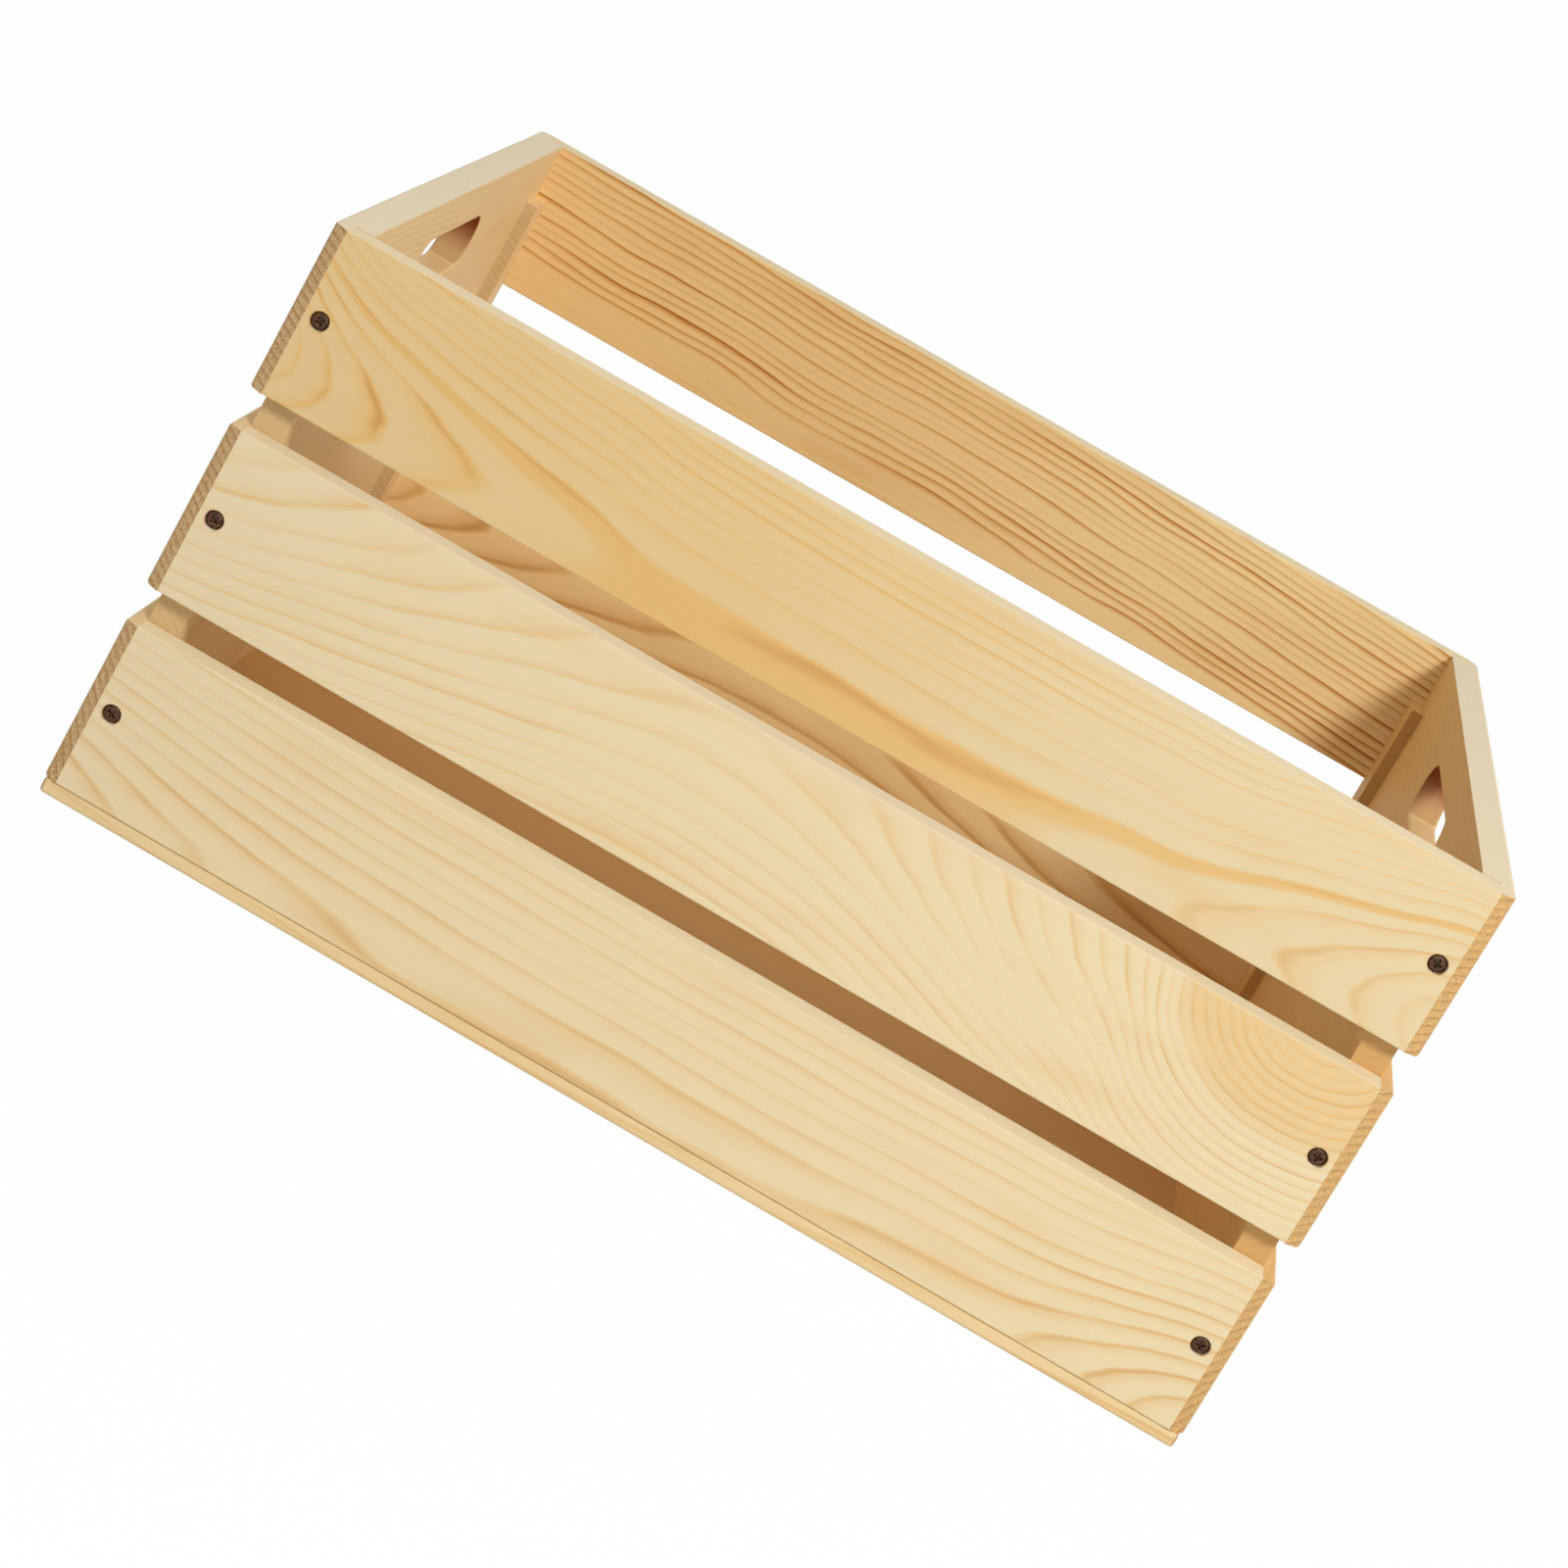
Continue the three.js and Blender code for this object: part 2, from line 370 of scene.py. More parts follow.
# %% Model the floor board
FLOOR_EASE = 1.6 * MM
FLOOR_SEAT_DEPTH = 3.0 * MM
UP = Vector((0, 0, 1))

floor_low, floor_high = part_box("floor_board")
floor_board = add_block("floor_board_board", floor_low, floor_high)
ease_edges(floor_board, FLOOR_EASE)
floor_screws = [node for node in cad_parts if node.startswith("floor_screw")]
for node in floor_screws:
    mouth = screw_centre(node)
    mouth.z = floor_low.z
    full_depth = floor_high.z - floor_low.z + THROUGH
    cut_away(floor_board, stepped_bit(mouth, UP, FLOOR_SEAT_DEPTH, full_depth))
smooth(floor_board)
boards["floor_board"] = floor_board
print("floor board holes:", len(floor_screws))

# %% [markdown]
# Helpers for finishes
#
# A finish is a web of small nodes: one tells the place on the board, others compare, bend and mix. By hand
# they are dragged and linked in the shader editor. Here a short class adds a node, sets it and links it in
# one call, which keeps a long finish readable.

# %% Wiring helpers for materials


def linear(red, green, blue):
    """A colour given as it looks on screen, 0 to 255, as the light values that a shader takes."""
    def one(level):
        level = level / 255
        return level / 12.92 if level <= 0.04045 else ((level + 0.055) / 1.055) ** 2.4
    return (one(red), one(green), one(blue), 1.0)


class Wiring:
    """Adds nodes to a material or a world and links them, so that a finish reads like a formula."""

    def __init__(self, owner):
        owner.use_nodes = True
        self.tree = owner.node_tree

    def feed(self, socket, value):
        if isinstance(value, bpy.types.NodeSocket):
            self.tree.links.new(value, socket)
        else:
            socket.default_value = value

    def node(self, kind, **settings):
        made = self.tree.nodes.new(kind)
        for setting, value in settings.items():
            setattr(made, setting, value)
        return made

    def math(self, operation, first, second=0.0, clamp=False):
        made = self.node("ShaderNodeMath", operation=operation, use_clamp=clamp)
        self.feed(made.inputs[0], first)
        self.feed(made.inputs[1], second)
        return made.outputs[0]

    def distance(self, first, second):
        """How far a point is that lies off by two lengths at right angles."""
        squares = [self.math("MULTIPLY", side, side) for side in (first, second)]
        return self.math("SQRT", self.math("ADD", *squares))

    def scaled(self, vector, scale):
        made = self.node("ShaderNodeVectorMath", operation="MULTIPLY")
        self.feed(made.inputs[0], vector)
        self.feed(made.inputs[1], scale)
        return made.outputs[0]

    def noise(self, vector, detail=2.0):
        """Cloudy noise between about -1 and 1."""
        made = self.node("ShaderNodeTexNoise")
        self.feed(made.inputs["Vector"], vector)
        self.feed(made.inputs["Scale"], 1.0)
        self.feed(made.inputs["Detail"], detail)
        doubled = self.math("MULTIPLY", made.outputs["Fac"], 2.0)
        return self.math("SUBTRACT", doubled, 1.0)

    def ramp(self, value, stops):
        made = self.node("ShaderNodeValToRGB")
        made.color_ramp.interpolation = "EASE"
        elements = made.color_ramp.elements
        inner = [elements.new(place) for place, level in stops[1:-1]]
        for element, (place, level) in zip((elements[0], *inner, elements[-1]), stops):
            element.position = place
            element.color = (level, level, level, 1.0)
        self.feed(made.inputs["Fac"], value)
        return made.outputs["Color"]

    def between(self, value, low, high, to_low=0.0, to_high=1.0):
        """Carry a value from one range to another, smoothly and held at the ends."""
        made = self.node("ShaderNodeMapRange", interpolation_type="SMOOTHSTEP")
        for socket, level in zip(made.inputs, (value, low, high, to_low, to_high)):
            self.feed(socket, level)
        return made.outputs["Result"]

    def mix(self, share, first, second, blend="MIX"):
        made = self.node("ShaderNodeMix", data_type="RGBA", blend_type=blend)
        self.feed(made.inputs["Factor"], share)
        self.feed(made.inputs[6], first)
        self.feed(made.inputs[7], second)
        return made.outputs[2]


print("white as light values:", linear(255, 255, 255))

# %% [markdown]
# Pine from its heart line
#
# A tree grows a ring a year round its heart. A board is a slice of that tree, and the lines on its face
# are where the face cuts the rings. So the pine here is made the way the tree makes it. Each board has
# a heart line: a few points that say, along the board, how deep behind the face the tree's heart ran
# and how high. The distance to that line counts the rings. Where the heart comes near the face the lines
# close into arches, and where it runs level they run straight. The same rings then show on the edges and
# on the end grain.

# %% Count the rings
DEPTH_REACH = (-20.0, 160.0)
LEVEL_REACH = (-60.0, 140.0)
WAVE_SCALE = (0.012, 0.06, 0.06)


def board_wiring(material, zero, length, turn):
    """Start a finish that knows its place on the board, in millimetres from the corner zero."""
    wood = Wiring(material)
    source = wood.node("ShaderNodeTexCoord")
    mapping = wood.node("ShaderNodeMapping")
    wood.feed(mapping.inputs["Vector"], source.outputs["Object"])
    mapping.inputs["Scale"].default_value = (1 / MM, 1 / MM, 1 / MM)
    mapping.inputs["Rotation"].default_value = (0, 0, turn)
    mapping.inputs["Location"].default_value = -(Euler((0, 0, turn)).to_matrix() @ (zero / MM))
    wood.place = mapping.outputs["Vector"]
    split = wood.node("ShaderNodeSeparateXYZ")
    wood.feed(split.inputs[0], wood.place)
    wood.along, wood.behind, wood.up = split.outputs
    wood.length = length / MM
    wood.travelled = wood.math("DIVIDE", wood.along, wood.length)
    wood.normal = wood.node("ShaderNodeNewGeometry").outputs["Normal"]
    return wood


def heart_curve(wood, points, column, reach):
    """A smooth curve along the board through one column of the heart line's points."""
    low, high = reach
    made = wood.node("ShaderNodeFloatCurve")
    curve = made.mapping.curves[0]
    places = [(point[0] / 100, (point[column] - low) / (high - low)) for point in points]
    curve.points[0].location = places[0]
    curve.points[-1].location = places[-1]
    for share, height in places[1:-1]:
        curve.points.new(share, height)
    made.mapping.update()
    wood.feed(made.inputs["Value"], wood.travelled)
    spread = wood.math("MULTIPLY", made.outputs["Value"], high - low)
    return wood.math("ADD", spread, low)


def count_rings(wood, heart, ring, wander, narrow):
    """Count the rings out from the heart line: evenly, and then with waves and narrow outer rings."""
    off_depth = wood.math("SUBTRACT", wood.behind, heart_curve(wood, heart, 1, DEPTH_REACH))
    off_level = wood.math("SUBTRACT", wood.up, heart_curve(wood, heart, 2, LEVEL_REACH))
    even_count = wood.math("DIVIDE", wood.distance(off_depth, off_level), ring)
    waves = wood.noise(wood.scaled(wood.place, WAVE_SCALE))
    count = wood.math("ADD", even_count, wood.math("MULTIPLY", waves, wander))
    if narrow:
        start, share = narrow
        beyond = wood.math("MAXIMUM", wood.math("SUBTRACT", even_count, start), 0.0)
        count = wood.math("ADD", count, wood.math("MULTIPLY", beyond, share))
    return even_count, count


print("heart lines may lie", DEPTH_REACH, "mm deep and", LEVEL_REACH, "mm high")

# %% [markdown]
# Light and dark wood
#
# Within a ring the wood starts pale, turns orange and ends in a thin dark edge. No two rings are alike, so
# each gets its own strength, and large soft patches weaken the lines here and there. Fine fibres along the
# board change the tone a little.

# %% Shade and colour the rings
LATE_WOOD = ((0.0, 0.0), (0.35, 0.1), (0.65, 0.45), (0.86, 1.0), (0.95, 0.6), (1.0, 0.0))
PATCH_SCALE = (0.008, 0.05, 0.05)
CLOUD_SCALE = (0.009, 0.05, 0.045)
CLOUD_SHARE = 0.35
FIBRE_SCALE = (0.03, 1.3, 1.5)
FIBRE_TONE = 0.07
PALE_TURNS = (0.35, 0.75)
LINE_TURNS = (0.45, 0.8)


def shade_rings(wood, even_count, count, uneven, fade):
    """The late wood of each ring, first the same in all rings and then as dark as it comes out."""
    late = wood.ramp(wood.math("FRACT", count), LATE_WOOD)
    year = wood.node("ShaderNodeTexWhiteNoise", noise_dimensions="1D")
    wood.feed(year.inputs["W"], wood.math("FLOOR", count))
    strength = wood.math("MULTIPLY", year.outputs["Value"], uneven)
    strength = wood.math("ADD", strength, 1 - uneven)
    dark = wood.math("MULTIPLY", late, strength)
    patches = wood.noise(wood.scaled(wood.place, PATCH_SCALE))
    dark = wood.math("MULTIPLY", dark, wood.between(patches, -0.35, 0.25, 0.5, 1.0))
    if fade:
        start, end, rest = fade
        dark = wood.math("MULTIPLY", dark, wood.between(even_count, start, end, 1.0, rest))
    return late, dark


def pale_wood(wood, even_count, pale, pale_right, tint, warm):
    """The wood between the lines, cloudy, and warmer from one ring to another."""
    if pale_right:
        pale = wood.mix(wood.between(wood.travelled, *PALE_TURNS), pale, pale_right)
    cloud = wood.noise(wood.scaled(wood.place, CLOUD_SCALE))
    colour = wood.mix(wood.between(cloud, 0.0, 0.8, 0.0, CLOUD_SHARE), pale, tint)
    if warm:
        start, end, border, share = warm
        inside = wood.math(
            "MULTIPLY",
            wood.between(even_count, start, start + border),
            wood.between(even_count, end, end - border, 0.0, share),
        )
        colour = wood.mix(inside, colour, tint)
    return colour


def draw_lines(wood, colour, dark, fibre, tint, mark, line, line_right):
    """Turn the late wood orange, give it a dark edge, and tone it all along the fibres."""
    if line_right:
        line = wood.between(wood.travelled, *LINE_TURNS, line, line_right)
    colour = wood.mix(wood.between(dark, 0.0, 0.7, 0.0, line), colour, tint)
    colour = wood.mix(wood.between(dark, 0.5, 1.0, 0.0, line), colour, mark)
    tone = wood.math("ADD", wood.math("MULTIPLY", fibre, FIBRE_TONE), 1.0)
    return wood.mix(1.0, colour, tone, blend="MULTIPLY")


print("stages of a ring:", len(LATE_WOOD))

# %% [markdown]
# Edges, cuts and the hand holes
#
# Upward faces get painted light: the upper edges of the slats and panels are painted paler than their
# faces, so that they come out as bright, and the floor's upper face inside the crate gets painted shade, a
# darker orange. End grain looks darker, since light sinks into the open fibres: the ends of a board
# unevenly. Faces cut across the grain farther in, such as those level with the gaps, get painted shade.
# The wall of a hand hole gets painted shade, darkest at the top, and a pale warm colour at the bottom.

# %% Colour edges, cuts and hand holes
END_REACH = 11.5
CUT_SCALE = (0.4, 1.6, 1.6)
# Painted shade on faces cut across the grain away from the ends, such as those level with the gaps
CUT_SHADE = linear(222, 214, 206)
# How much of the painted light, and on the floor the painted shade, goes on upward faces
TOP_PAINT_SHARE = 0.85
# Painted light and shade on the hand holes' walls: pale and warm at the bottom, dark brown at the top
HOLE_LIT_WARM = linear(250, 208, 146)
HOLE_SHADE = linear(147, 70, 10)


def paint_top_light_and_shade(wood, colour, edge, edge_height):
    """Paint a colour on what faces up, above a height: painted light on the slats and panels, painted shade
    on the floor.
    """
    facing = wood.node("ShaderNodeSeparateXYZ")
    wood.feed(facing.inputs[0], wood.normal)
    # Painted light on upward faces, and on the floor painted shade
    painted_top = wood.math(
        "MULTIPLY",
        wood.between(facing.outputs["Z"], 0.7, 0.95),
        wood.between(wood.up, edge_height, edge_height + 1, 0.0, TOP_PAINT_SHARE),
    )
    return wood.mix(painted_top, colour, edge)


def shade_hole_wall(wood, colour, hole):
    """Paint shade on the wall of a slot with round ends: dark brown at the top, pale and warm at the
    bottom.
    """
    hole_along, hole_up, half_span, radius = hole
    off_along = wood.math("ABSOLUTE", wood.math("SUBTRACT", wood.along, hole_along))
    off_along = wood.math("MAXIMUM", wood.math("SUBTRACT", off_along, half_span), 0.0)
    off_up = wood.math("SUBTRACT", wood.up, hole_up)
    # Painted shade, darkest towards the top of the wall
    wall = wood.mix(wood.between(off_up, -1.2 * radius, 0.7 * radius), HOLE_LIT_WARM, HOLE_SHADE)
    on_wall = wood.between(wood.distance(off_along, off_up), radius + 1, radius + 0.2)
    return wood.mix(on_wall, colour, wall)


def darken_ends_and_shade_cuts(wood, colour, late, turn, end_tint):
    """Darken the end grain at the board's ends, and paint shade on what is cut across the grain farther in.
    """
    facing = wood.node("ShaderNodeVectorMath", operation="DOT_PRODUCT")
    wood.feed(facing.inputs[0], wood.normal)
    facing.inputs[1].default_value = Euler((0, 0, -turn)).to_matrix() @ Vector((1, 0, 0))
    across = wood.between(wood.math("ABSOLUTE", facing.outputs["Value"]), 0.25, 0.45)
    from_end = wood.math("MINIMUM", wood.along, wood.math("SUBTRACT", wood.length, wood.along))
    end_grain = wood.math("MULTIPLY", across, wood.between(from_end, END_REACH, END_REACH - 0.5))
    # Painted shade on the cross-cut faces away from the board's ends
    shaded_cuts = wood.math("SUBTRACT", across, end_grain)
    colour = wood.mix(shaded_cuts, colour, CUT_SHADE, blend="MULTIPLY")
    cut_fibres = wood.noise(wood.scaled(wood.place, CUT_SCALE), detail=3.0)
    end_share = wood.math("ADD", wood.math("MULTIPLY", cut_fibres, 0.8), 0.55)
    end_share = wood.math("ADD", end_share, wood.math("MULTIPLY", late, 0.3))
    end_share = wood.math("MULTIPLY", end_share, end_grain, clamp=True)
    return wood.mix(end_share, colour, end_tint, blend="MULTIPLY")


print("end grain reaches in mm:", END_REACH)

# %% [markdown]
# One recipe for every board
#
# The steps above make one pine. What differs from board to board is handed in: its colours, its heart line,
# the width of its rings and how strongly they show. The lines also lie a little deeper than the rest, as
# they do in sanded pine, which a faint bump shows.

# %% The pine itself
GRAIN_PALE = linear(230, 211, 171)
GRAIN_WARM = linear(222, 178, 108)
GRAIN_LINE = linear(200, 148, 80)
# Painted light: paler colours for the upper edges of the slats and the rims of the panels
SLAT_TOP_LIGHT = linear(250, 230, 186)
PANEL_TOP_LIGHT = linear(247, 231, 198)
END_TINT = linear(204, 178, 152)
BUMP_STRENGTH = 0.25
BUMP_DEPTH = 0.15 * MM
ROUGHNESS = 0.58
SHEEN = 0.3


def pine(
    name, zero, length, heart, ring, turn=0.0, pale=GRAIN_PALE, pale_right=None, tint=GRAIN_WARM,
    mark=GRAIN_LINE, line=0.8, line_right=None, uneven=0.45, wander=0.3, narrow=None, fade=None,
    warm=None, edge=SLAT_TOP_LIGHT, edge_height=0.0, end_tint=END_TINT, hole=None,
):
    """Pine with its own heart line.

    zero is the corner of the board where the pattern starts, and turn turns the grain from +X.
    heart holds points of (percent along, depth behind the face, height), and ring is the width of a
    ring, in millimetres. pale turns into pale_right along the board, tint is the orange of a ring and
    mark its dark edge. line is the strength of the lines, which turns into line_right along the board,
    uneven says how much it differs from ring to ring, and wander how unevenly the lines run. narrow
    packs the rings beyond one ring closer, fade weakens the lines from one ring to another down to a
    share, and warm tints the wood from one ring to another, with soft borders, by a share. edge is a
    colour painted on what faces up, above edge_height: painted light on the upper edges of the slats
    and panels, painted shade on the floor. end_tint darkens the end grain at the board's ends, and on
    the end panels it also carries painted shade. hole is a slot whose wall gets painted shade: its
    middle along and up, half its straight span, and its radius.
    """
    material = bpy.data.materials.new(name)
    wood = board_wiring(material, zero, length, turn)
    even_count, count = count_rings(wood, heart, ring, wander, narrow)
    late, dark = shade_rings(wood, even_count, count, uneven, fade)
    fibre = wood.noise(wood.scaled(wood.place, FIBRE_SCALE), detail=3.0)
    colour = pale_wood(wood, even_count, pale, pale_right, tint, warm)
    colour = draw_lines(wood, colour, dark, fibre, tint, mark, line, line_right)
    # Painted light on upward faces, and painted shade on the floor's, on the hand hole's wall and on cuts
    # farther in
    colour = paint_top_light_and_shade(wood, colour, edge, edge_height)
    if hole:
        colour = shade_hole_wall(wood, colour, hole)
    colour = darken_ends_and_shade_cuts(wood, colour, late, turn, end_tint)

    raised = wood.math("MULTIPLY", fibre, 0.6)
    bump = wood.node("ShaderNodeBump")
    bump.inputs["Strength"].default_value = BUMP_STRENGTH
    bump.inputs["Distance"].default_value = BUMP_DEPTH
    wood.feed(bump.inputs["Height"], wood.math("SUBTRACT", raised, wood.math("MULTIPLY", dark, 0.5)))
    shader = wood.tree.nodes["Principled BSDF"]
    wood.feed(shader.inputs["Base Color"], colour)
    wood.feed(shader.inputs["Roughness"], wood.math("ADD", wood.math("MULTIPLY", fibre, 0.06), ROUGHNESS))
    wood.feed(shader.inputs["Normal"], bump.outputs["Normal"])
    shader.inputs["Specular IOR Level"].default_value = SHEEN
    return material


print("roughness of sanded pine:", ROUGHNESS)

# %% [markdown]
# A heart line for every board
#
# The three front slats show the most. The top one has its heart nearest the face at both ends, so its
# lines close into arches there, and along the middle one orange ring lies flat in the face. The middle
# one has its heart above its top edge: it comes to the face near the right end and makes a swirl there.
# The bottom one is like the top one, only fainter.

# %% Grain of the front slats
TOP_PALE = linear(222, 192, 139)
TOP_PALE_RIGHT = linear(223, 202, 159)
# Painted light: the upper edges of the middle and bottom slats, in the shade of the slat above, are painted
# paler still
LOW_TOP_LIGHT = linear(255, 241, 204)
FRONT_GRAIN = {
    "top": dict(
        ring=4.8,
        pale=TOP_PALE,
        pale_right=TOP_PALE_RIGHT,
        line=0.85,
        line_right=0.35,
        narrow=(10.5, 0.4),
        fade=(9.3, 10.5, 0.75),
        warm=(8.4, 9.1, 0.25, 0.75),
        heart=(
            (0, 20.6, 17), (1.6, 24, 15), (4.9, 28.8, 12), (10.1, 33.6, 11), (18.8, 38.4, 10),
            (27, 40.3, 8), (30, 41.0, 6), (40, 41.3, 4), (58, 41.3, 3), (68.6, 40.6, 3), (73, 39.6, 3),
            (79, 38.4, 3), (88, 33.6, 8), (94, 28.8, 10), (98, 24, 12), (100, 21, 12),
        ),
    ),
    "middle": dict(
        ring=3.9,
        line=0.55,
        line_right=0.4,
        fade=(13, 17, 0.75),
        warm=(-5, 13, 3, 0.5),
        edge=LOW_TOP_LIGHT,
        heart=(
            (0, 70, 76), (4, 72, 76), (10, 76, 76), (18, 81, 76), (26, 86, 76), (34, 90, 76),
            (42, 92, 76), (50, 91, 76), (58, 87, 76), (64, 81, 76), (70, 73, 76), (76, 64, 76),
            (80, 56, 76), (84, 40, 76), (88, 24, 76), (91, 12, 76), (94, 4, 76), (97, 10, 76),
            (100, 20, 76),
        ),
    ),
    "bottom": dict(
        ring=4.8,
        line=0.5,
        fade=(11, 15, 0.6),
        edge=LOW_TOP_LIGHT,
        heart=(
            (0, 29, -4), (10, 36, -4), (25, 41, -4), (50, 42.4, -4), (65, 42, -4), (76, 40.3, -4),
            (85, 38.4, -4), (91.6, 33.6, -3), (96, 28.8, -2), (100, 24, -2),
        ),
    ),
}
print("heart points on the front:", sum(len(grain["heart"]) for grain in FRONT_GRAIN.values()))

# %% Grain of the other boards
# Painted light: the back slats take warmer copies of the slat pine, painted warm bounce light inside the
# crate, lighter on the right and on the lower slats, where more light reaches them
BACK_PALE = linear(239, 205, 143)
BACK_PALE_RIGHT = linear(247, 220, 160)
BACK_TINT = linear(212, 154, 78)
BACK_MARK = linear(172, 106, 44)
LOW_BACK_PALE = linear(247, 216, 158)
BACK_GRAIN = {
    "top": dict(
        ring=3.6,
        line=1.15,
        pale=BACK_PALE,
        pale_right=BACK_PALE_RIGHT,
        tint=BACK_TINT,
        mark=BACK_MARK,
        uneven=0.7,
        wander=0.9,
        fade=(14.5, 12.5, 0.3),
        heart=(
            (0, 25, -24), (6, 25, -25), (12, 25, -26), (24, 26, -26), (32, 26, -29), (45, 25, -29),
            (70, 25, -34), (100, 25, -44),
        ),
    ),
    "middle": dict(
        ring=4.6,
        pale=LOW_BACK_PALE,
        heart=((0, 30, 4), (15, 36, 6), (40, 28, 10), (60, 38, 8), (85, 30, 2), (100, 24, 0)),
    ),
    "bottom": dict(
        ring=4.4,
        pale=LOW_BACK_PALE,
        heart=((0, 22, 60), (20, 34, 66), (50, 40, 70), (80, 30, 66), (100, 26, 62)),
    ),
}
PANEL_GRAIN = {
    # Painted light: the left panel's inside faces the lamps and takes a paler pine; its darker end tint is
    # painted shade on its shaded side
    "left": dict(
        ring=3.2,
        line=0.2,
        pale=linear(244, 217, 166),
        end_tint=linear(180, 148, 114),
        heart=((0, 100, -50), (30, 106, -46), (60, 102, -52), (100, 98, -48)),
    ),
    # Painted shade: the right panel's inside, in shade, takes a more orange pine
    "right": dict(
        ring=3.2,
        line=0.2,
        pale=linear(237, 196, 130),
        end_tint=linear(190, 176, 166),
        heart=((0, 110, -62), (35, 114, -56), (70, 116, -60), (100, 110, -58)),
    ),
}
FLOOR_GRAIN = dict(
    ring=4.5,
    line=0.5,
    pale=linear(231, 206, 157),
    # Painted shade: the floor's upper face, inside the crate, is painted a darker orange than its edges
    edge=linear(210, 160, 98),
    heart=((0, 40, -30), (40, 46, -34), (75, 42, -28), (100, 36, -30)),
)
print("boards at the back:", len(BACK_GRAIN), "and end panels:", len(PANEL_GRAIN))

# %% Give each board its pine
QUARTER = math.radians(90)
RIM_EDGE = 2.0 * MM


def finish_slat(side, row, grain):
    node = f"{side}_slat_{row}"
    low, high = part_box(node)
    boards[node].data.materials.append(pine(f"pine {node}", low, high.x - low.x, **grain))


def finish_panel(end, turn):
    """A panel's grain runs along Y, and its pattern starts at the inner face."""
    node = f"end_panel_{end}"
    low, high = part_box(node)
    zero = Vector((high.x, low.y, low.z)) if end == "left" else Vector((low.x, high.y, low.z))
    hole_radius = HAND_HOLE_HEIGHT / 2
    hole_up = high.z - low.z - HAND_HOLE_DROP - hole_radius
    half_span = HAND_HOLE_LENGTH / 2 - hole_radius
    hole = [length / MM for length in ((high.y - low.y) / 2, hole_up, half_span, hole_radius)]
    edge_height = (high.z - low.z - RIM_EDGE) / MM
    grain = dict(PANEL_GRAIN[end], turn=turn, edge=PANEL_TOP_LIGHT, edge_height=edge_height, hole=hole)
    boards[node].data.materials.append(pine(f"pine {node}", zero, high.y - low.y, **grain))


for row_name in ROWS:
    finish_slat("front", row_name, FRONT_GRAIN[row_name])
    finish_slat("back", row_name, BACK_GRAIN[row_name])
finish_panel("left", -QUARTER)
finish_panel("right", QUARTER)
floor_pine = pine("pine floor", floor_low, floor_high.x - floor_low.x, **FLOOR_GRAIN)
boards["floor_board"].data.materials.append(floor_pine)
print("boards with their own pine:", len(boards))

# %% [markdown]
# The screws
#
# Dark wood screws with a low domed head and a cross recess. One is modelled for each length, from a
# cylinder: the top edge is bevelled to a dome, the underside is inset and pushed down to make the shank,
# and its end is drawn in to a point. Copies then go to every screw's place.

# %% Model the screws
HEAD_RADIUS = 3.25 * MM
HEAD_HEIGHT = 2.5 * MM
HEAD_DOME = 1.0 * MM
HEAD_DOME_STEPS = 5
SHANK_RADIUS = 1.75 * MM
POINT_LENGTH = 4.0 * MM
POINT_SHARE = 0.06
SCREW_SIDES = 32
CROSS_SPAN = 3.4 * MM
CROSS_WIDTH = 0.9 * MM
CROSS_DEPTH = 1.3 * MM
STEEL_DARK = linear(58, 32, 12)
STEEL_BROWN = linear(116, 76, 40)
STEEL_PATCH_SCALE = (0.9 / MM, 0.9 / MM, 0.9 / MM)
STEEL_METALLIC = 0.3


def model_screw(name, length):
    """A screw that points down, with the underside of its head at the origin."""
    bpy.ops.object.select_all(action="DESELECT")
    bpy.ops.mesh.primitive_cylinder_add(
        vertices=SCREW_SIDES, radius=HEAD_RADIUS, depth=HEAD_HEIGHT, location=(0, 0, HEAD_HEIGHT / 2)
    )
    screw = bpy.context.object
    screw.name = name
    bpy.ops.object.transform_apply(location=True, rotation=True, scale=True)
    bpy.ops.object.mode_set(mode="EDIT")
    select_corners(screw, lambda place: place.z > HEAD_HEIGHT - NEAR)
    bpy.ops.mesh.bevel(offset=HEAD_DOME, segments=HEAD_DOME_STEPS)
    select_corners(screw, lambda place: abs(place.z) < NEAR)
    bpy.ops.mesh.inset(thickness=HEAD_RADIUS - SHANK_RADIUS)
    bpy.ops.mesh.extrude_region_move(TRANSFORM_OT_translate={"value": (0, 0, POINT_LENGTH - length)})
    bpy.ops.mesh.extrude_region_move(TRANSFORM_OT_translate={"value": (0, 0, -POINT_LENGTH)})
    bpy.ops.transform.resize(value=(POINT_SHARE, POINT_SHARE, 1))
    bpy.ops.object.mode_set(mode="OBJECT")
    top = Vector((0, 0, HEAD_HEIGHT))
    for span_x, span_y in ((CROSS_SPAN, CROSS_WIDTH), (CROSS_WIDTH, CROSS_SPAN)):
        reach = Vector((span_x / 2, span_y / 2, CROSS_DEPTH))
        cut_away(screw, add_block("cross", top - reach, top + reach))
    smooth(screw)
    return screw


def screw_steel():
    """Blackened steel, a little browner and rougher in patches."""
    material = bpy.data.materials.new("blackened steel")
    wiring = Wiring(material)
    source = wiring.node("ShaderNodeTexCoord")
    place = wiring.scaled(source.outputs["Object"], STEEL_PATCH_SCALE)
    patches = wiring.noise(place, detail=4.0)
    colour = wiring.mix(wiring.between(patches, -0.2, 0.5), STEEL_DARK, STEEL_BROWN)
    shader = wiring.tree.nodes["Principled BSDF"]
    wiring.feed(shader.inputs["Base Color"], colour)
    wiring.feed(shader.inputs["Roughness"], wiring.between(patches, -0.6, 0.6, 0.38, 0.6))
    shader.inputs["Metallic"].default_value = STEEL_METALLIC
    return material


